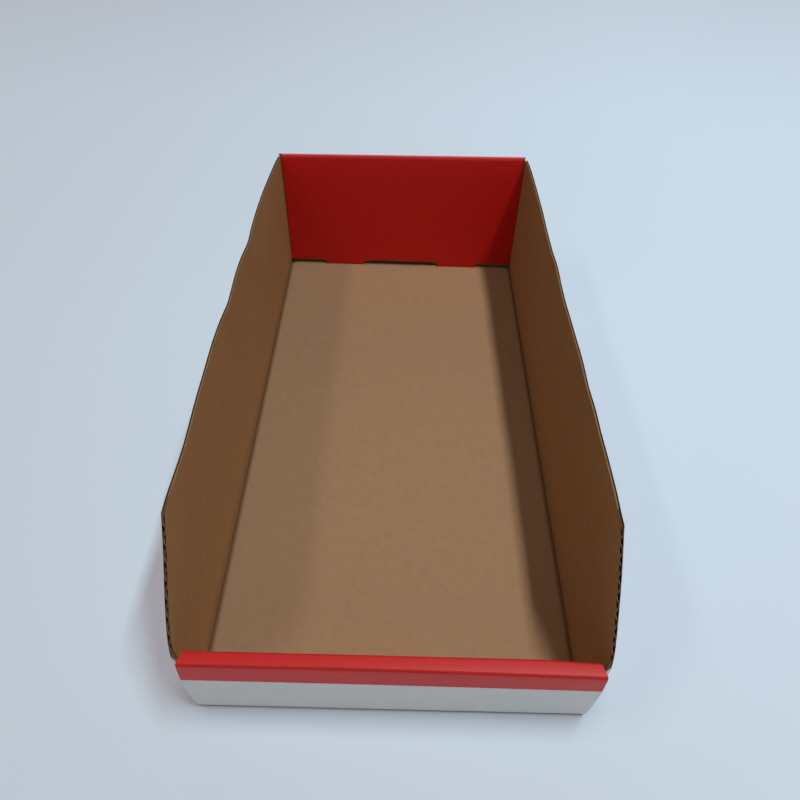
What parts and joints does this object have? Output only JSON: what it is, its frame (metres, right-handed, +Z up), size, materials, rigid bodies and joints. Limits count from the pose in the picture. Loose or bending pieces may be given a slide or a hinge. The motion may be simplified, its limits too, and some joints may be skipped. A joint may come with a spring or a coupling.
{
  "type": "corrugated cardboard storage bin",
  "caption": "Open-topped storage bin folded from corrugated board, with a low front wall, slanted side edges, and rolled front and back walls locked by tabs.",
  "frame": {"origin": "middle of the bin's outline, on the underside of the base", "axes": "+X across the bin to the right as seen from the open front, +Y from the low front wall to the back wall, +Z up"},
  "size_m": [0.196, 0.37, 0.095],
  "materials": {
    "corrugated_board": "matte kraft inside, matte white and red print outside"
  },
  "bodies": {
    "root": {"bin": "corrugated_board"}
  },
  "joints": []
}
